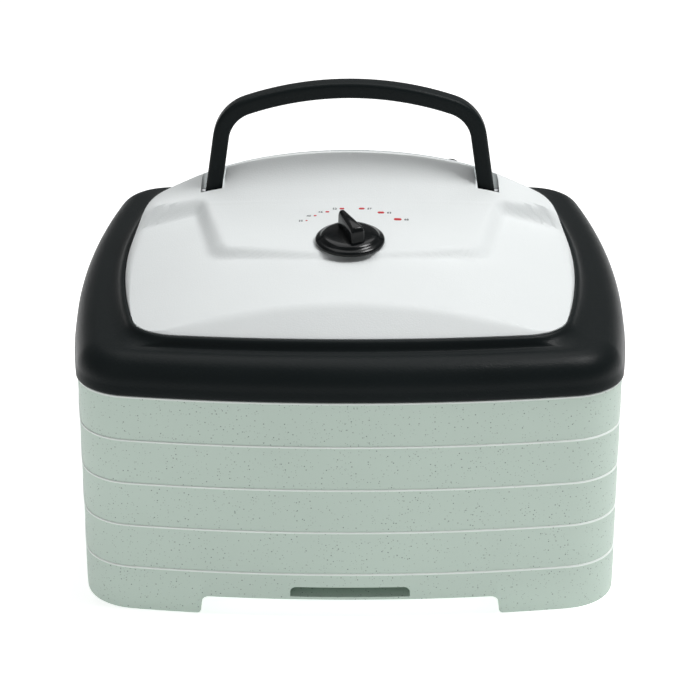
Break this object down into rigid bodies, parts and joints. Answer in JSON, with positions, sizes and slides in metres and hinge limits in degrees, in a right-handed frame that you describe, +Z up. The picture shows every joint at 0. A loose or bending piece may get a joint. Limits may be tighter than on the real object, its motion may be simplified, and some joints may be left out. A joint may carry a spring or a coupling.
{
  "type": "food dehydrator",
  "caption": "Square food dehydrator: footed base, stacking drying trays and a fan-heater power head with a thermostat knob and a folding carry handle.",
  "frame": {"origin": "middle of the footprint, on the surface that the feet stand on", "axes": "+Z up, the control panel and the grip slot face -Y, +X to the right seen from the front"},
  "size_m": [0.347, 0.347, 0.2784],
  "materials": {
    "speckled": "pale grey-green plastic with fine dark specks",
    "white": "off-white plastic with a fine grain",
    "black": "black satin plastic",
    "knob_black": "black gloss plastic",
    "steel": "zinc-plated and rolled steel",
    "aluminium": "bright sheet",
    "copper": "enamelled copper winding",
    "bronze": "sintered bronze",
    "ceramic": "unglazed",
    "resistance_wire": "oxidised resistance wire",
    "bakelite": "dark moulded phenolic",
    "lead": "insulated wire",
    "fan_plastic": "grey nylon"
  },
  "bodies": {
    "base": {"base": "speckled"},
    "tray_4": {"tray_4": "speckled"},
    "tray_3": {"tray_3": "speckled"},
    "tray_2": {"tray_2": "speckled"},
    "tray_1": {"tray_1": "speckled"},
    "carry_handle": {"carry_handle": "black"},
    "thermostat_knob": {"thermostat_knob": "knob_black", "thermostat_shaft": "steel"},
    "fan": {"motor_shaft": "steel", "motor_rotor": "steel", "fan_blade": "fan_plastic"},
    "power_head": {"housing_band": "black", "top_cover": "white", "power_floor": "black", "fan_guard": "black", "heater_element": "resistance_wire", "heat_shield": "aluminium", "thermal_cutout": "bakelite", "motor_bridge": "steel", "motor_laminations": "steel", "motor_coil": "copper", "lower_bearing_bracket": "steel", "upper_bearing_bracket": "steel", "lower_bush": "bronze", "upper_bush": "bronze", "thermostat_body": "bakelite", "thermostat_nut": "bronze", "inlet_gland": "black", "lead_inlet_to_thermostat": "lead", "lead_to_motor": "lead", "lead_to_cutout": "lead", "handle_pin_left": "steel", "handle_pin_right": "steel", "shield_spacer_left": "ceramic", "shield_spacer_right": "ceramic", "floor_screw_1": "steel", "cover_screw_1": "steel", "floor_screw_2": "steel", "cover_screw_2": "steel", "floor_screw_3": "steel", "cover_screw_3": "steel", "floor_screw_4": "steel", "cover_screw_4": "steel", "guard_screw_1": "steel", "heater_support_1": "ceramic", "guard_screw_2": "steel", "heater_support_2": "ceramic", "guard_screw_3": "steel", "heater_support_3": "ceramic", "bridge_screw_1": "steel", "motor_screw_1": "steel", "bridge_screw_2": "steel", "motor_screw_2": "steel"}
  },
  "joints": [
    {"name": "tray_4_lift", "type": "slide", "parent": "base", "child": "tray_4", "axis": [0, 0, 1], "range_m": [0, 0.06]},
    {"name": "tray_3_lift", "type": "slide", "parent": "tray_4", "child": "tray_3", "axis": [0, 0, 1], "range_m": [0, 0.06]},
    {"name": "tray_2_lift", "type": "slide", "parent": "tray_3", "child": "tray_2", "axis": [0, 0, 1], "range_m": [0, 0.06]},
    {"name": "tray_1_lift", "type": "slide", "parent": "tray_2", "child": "tray_1", "axis": [0, 0, 1], "range_m": [0, 0.06]},
    {"name": "power_head_lift", "type": "slide", "parent": "tray_1", "child": "power_head", "axis": [0, 0, 1], "range_m": [0, 0.06]},
    {"name": "handle_fold", "type": "hinge", "parent": "power_head", "child": "carry_handle", "pos_m": [0, 0.024, 0.203], "axis": [-1, 0, 0], "range_deg": [0, 90]},
    {"name": "knob_turn", "type": "hinge", "parent": "power_head", "child": "thermostat_knob", "pos_m": [0, -0.06, 0.20009], "axis": [0, -0.1387, 0.9903], "range_deg": [-87, 38]},
    {"name": "fan_spin", "type": "hinge", "parent": "power_head", "child": "fan", "pos_m": [0, 0, 0.155], "axis": [0, 0, 1], "continuous": true}
  ]
}
